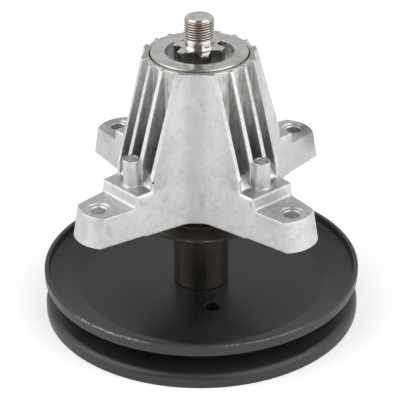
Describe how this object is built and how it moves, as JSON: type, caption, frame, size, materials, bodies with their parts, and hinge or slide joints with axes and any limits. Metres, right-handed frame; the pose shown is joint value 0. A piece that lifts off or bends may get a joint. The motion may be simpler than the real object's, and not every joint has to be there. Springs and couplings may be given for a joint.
{
  "type": "mower blade spindle with belt pulley",
  "caption": "Upturned mower blade spindle: ribbed cast housing on four feet, steel shaft with star drive and threaded stub, black flanged sleeve and pressed sheet V-belt pulley.",
  "frame": {"origin": "on the shaft's axis, at the height of the lower pulley lip that it stands on", "axes": "+Z along the shaft towards the blade end; the feet lie on the diagonals of X and Y"},
  "size_m": [0.178, 0.178, 0.1749],
  "materials": {
    "cast_aluminium": "as-cast, light tumbled",
    "machined_steel": "turned, satin",
    "pulley_paint": "satin black",
    "black_oxide": "black oxide",
    "bearing_steel": "ground",
    "zinc_steel": "zinc plated",
    "seal_rubber": "matte",
    "cage_plastic": "moulded"
  },
  "bodies": {
    "casting": {"housing": "cast_aluminium", "pulley_bearing_outer_race": "bearing_steel", "pulley_bearing_upper_seal": "seal_rubber", "pulley_bearing_lower_seal": "seal_rubber", "blade_bearing_outer_race": "bearing_steel", "blade_bearing_upper_seal": "seal_rubber", "blade_bearing_lower_seal": "seal_rubber"},
    "spindle": {"spindle_shaft": "machined_steel", "blade_seat_cap": "machined_steel", "flanged_spacer": "black_oxide", "bearing_spacer": "machined_steel", "pulley_upper_half": "pulley_paint", "pulley_lower_half": "pulley_paint", "pulley_nut": "zinc_steel", "pulley_bearing_inner_race": "bearing_steel", "blade_bearing_inner_race": "bearing_steel"},
    "pulley_bearing_ball_set": {"pulley_bearing_balls": "bearing_steel", "pulley_bearing_cage": "cage_plastic"},
    "blade_bearing_ball_set": {"blade_bearing_balls": "bearing_steel", "blade_bearing_cage": "cage_plastic"}
  },
  "joints": [
    {"name": "spindle_spin", "type": "hinge", "parent": "casting", "child": "spindle", "pos_m": [0, 0, 0.106], "axis": [0, 0, 1], "continuous": true},
    {"name": "pulley_bearing_ball_roll", "type": "hinge", "parent": "casting", "child": "pulley_bearing_ball_set", "pos_m": [0, 0, 0.0752], "axis": [0, 0, 1], "continuous": true},
    {"name": "blade_bearing_ball_roll", "type": "hinge", "parent": "casting", "child": "blade_bearing_ball_set", "pos_m": [0, 0, 0.1365], "axis": [0, 0, 1], "continuous": true}
  ],
  "couplings": [
    {"joint": "pulley_bearing_ball_roll", "follows": "spindle_spin", "ratio": 0.38152},
    {"joint": "blade_bearing_ball_roll", "follows": "spindle_spin", "ratio": 0.38152}
  ]
}
